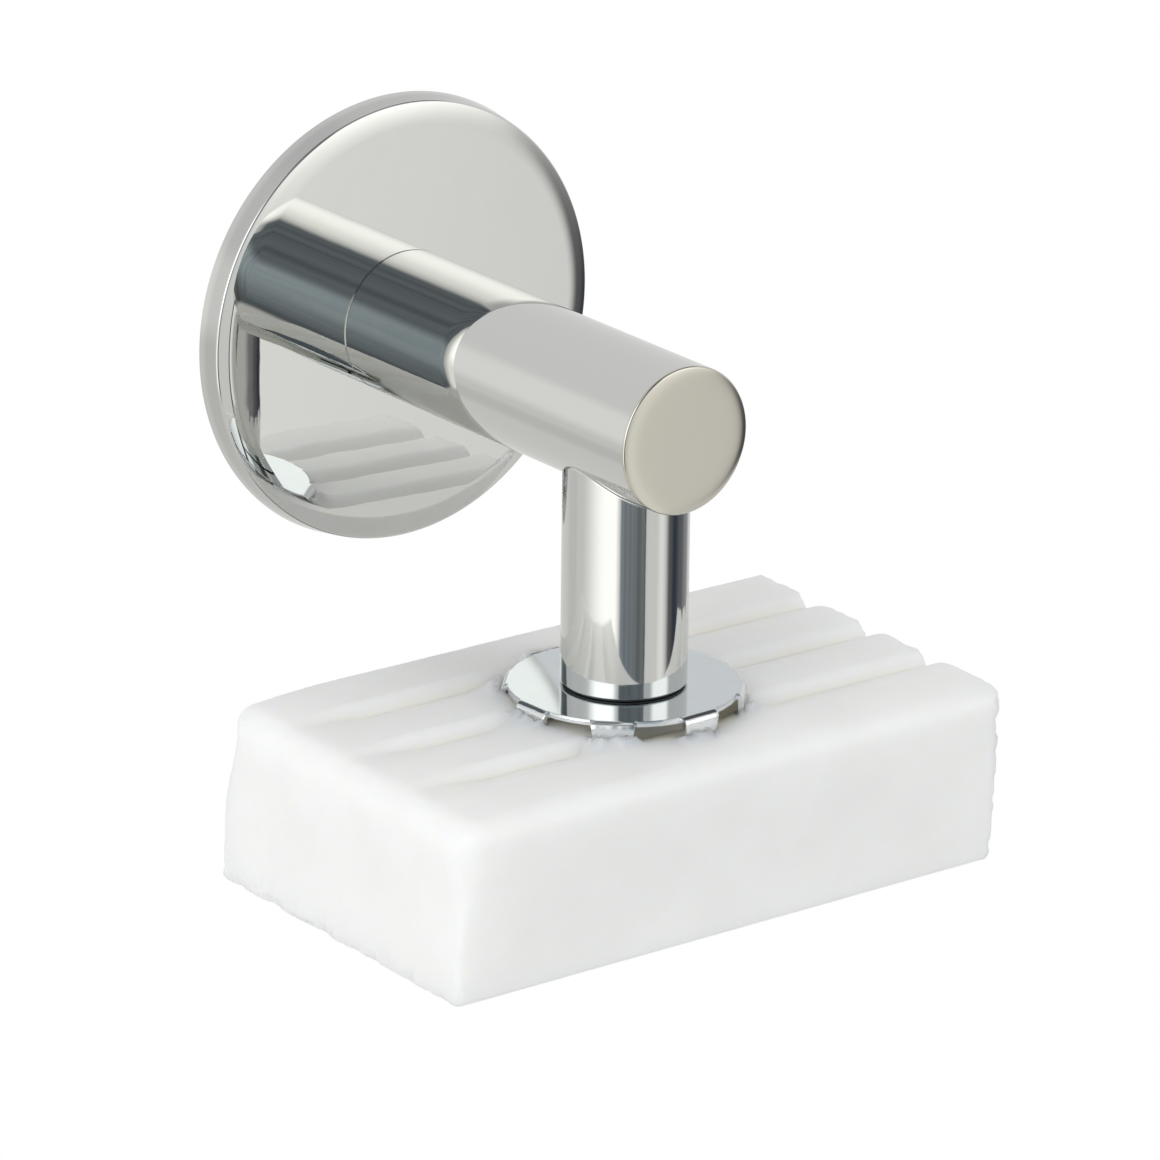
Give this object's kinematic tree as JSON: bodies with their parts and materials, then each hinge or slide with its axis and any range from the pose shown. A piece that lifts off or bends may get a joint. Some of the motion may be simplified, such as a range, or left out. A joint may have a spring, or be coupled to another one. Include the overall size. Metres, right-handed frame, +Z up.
{
  "type": "magnetic soap holder",
  "caption": "Wall-mounted magnetic soap holder: a round cover plate, a level arm with a short hanging post, and a clawed disc set in a ribbed soap bar that the post's magnet holds.",
  "frame": {"origin": "on the wall, where the arm's axis meets it", "axes": "+Y into the wall, with the room on the -Y side; +X to the right as seen from the room; +Z up"},
  "size_m": [0.0903, 0.077, 0.0918],
  "materials": {
    "polished_steel": "polished stainless steel",
    "plain_steel": "plain machined steel",
    "nickel": "nickel plated",
    "zinc": "zinc-plated sheet steel",
    "black_plastic": "moulded, matt",
    "black_foam": "closed-cell foam",
    "soap": "pressed white soap, satin"
  },
  "bodies": {
    "root": {"adhesive_pad": "black_foam", "wall_plate": "plain_steel", "hub": "plain_steel", "hub_screw": "plain_steel", "hub_pin": "plain_steel", "cover_plate": "polished_steel", "arm": "polished_steel", "grub_screw": "plain_steel", "post_tube": "polished_steel", "saddle_plug": "plain_steel", "lock_washer": "plain_steel", "post_screw": "plain_steel", "magnet_holder": "black_plastic", "magnet_screw": "plain_steel"},
    "magnet": {"magnet_cup": "nickel", "ring_magnet": "nickel"},
    "claw_disc": {"claw_disc": "zinc"},
    "soap_bar": {"soap_bar": "soap"}
  },
  "joints": [
    {"name": "disc_swivel", "type": "hinge", "parent": "root", "child": "magnet", "pos_m": [0, -0.051, -0.03475], "axis": [0, 0, 1], "continuous": true},
    {"name": "disc_pull", "type": "slide", "parent": "magnet", "child": "claw_disc", "axis": [0, 0, -1], "range_m": [0, 0.035]},
    {"name": "soap_pull", "type": "slide", "parent": "claw_disc", "child": "soap_bar", "axis": [0, 0, -1], "range_m": [0, 0.02]}
  ]
}
